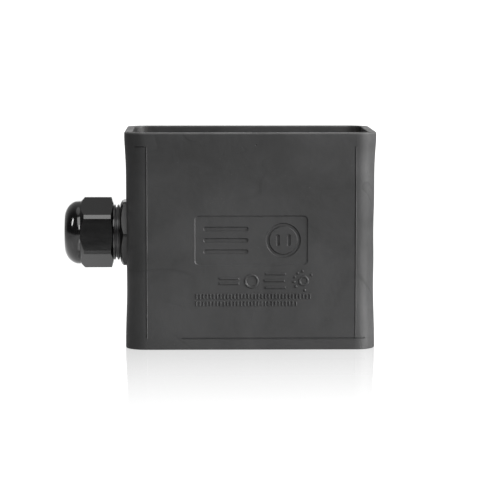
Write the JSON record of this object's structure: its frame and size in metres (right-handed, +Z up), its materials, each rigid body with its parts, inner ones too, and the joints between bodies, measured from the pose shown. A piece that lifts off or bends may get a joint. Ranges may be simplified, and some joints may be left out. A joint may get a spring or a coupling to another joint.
{
  "type": "portable outlet box",
  "caption": "Deep open-topped elastomer outlet box with corner screw posts, device ledges and a sealing cord grip on one end.",
  "frame": {"origin": "centre of the flat base of the box", "axes": "+Z up through the open top; +X along the box's length, away from the cord grip, which points along -X; the marked face looks along -Y"},
  "size_m": [0.1602, 0.0778, 0.1107],
  "materials": {
    "box_elastomer": "satin moulded thermoplastic elastomer",
    "gland_nylon": "semi-gloss black nylon",
    "ring_nylon": "natural nylon",
    "seal_rubber": "matt neoprene",
    "insert_brass": "turned brass",
    "washer_steel": "zinc plated steel"
  },
  "bodies": {
    "box": {"box_shell": "box_elastomer", "cover_screw_inserts": "insert_brass", "device_screw_inserts": "insert_brass", "gland_body": "gland_nylon", "entry_seal": "seal_rubber", "steel_washer": "washer_steel", "locknut": "gland_nylon", "sealing_grommet": "seal_rubber"},
    "thrust_ring": {"slip_ring": "ring_nylon"},
    "nut": {"dome_nut": "gland_nylon"}
  },
  "joints": [
    {"name": "nut_travel", "type": "slide", "parent": "box", "child": "thrust_ring", "axis": [1, 0, 0], "range_m": [-0.0081, 0.0033], "deforming": ["sealing_grommet"]},
    {"name": "nut_turn", "type": "hinge", "parent": "thrust_ring", "child": "nut", "pos_m": [-0.08, 0, 0.0568], "axis": [1, 0, 0], "range_deg": [-1440, 576]}
  ],
  "couplings": [
    {"joint": "nut_travel", "follows": "nut_turn", "m_per_rad": 0.00031831}
  ]
}
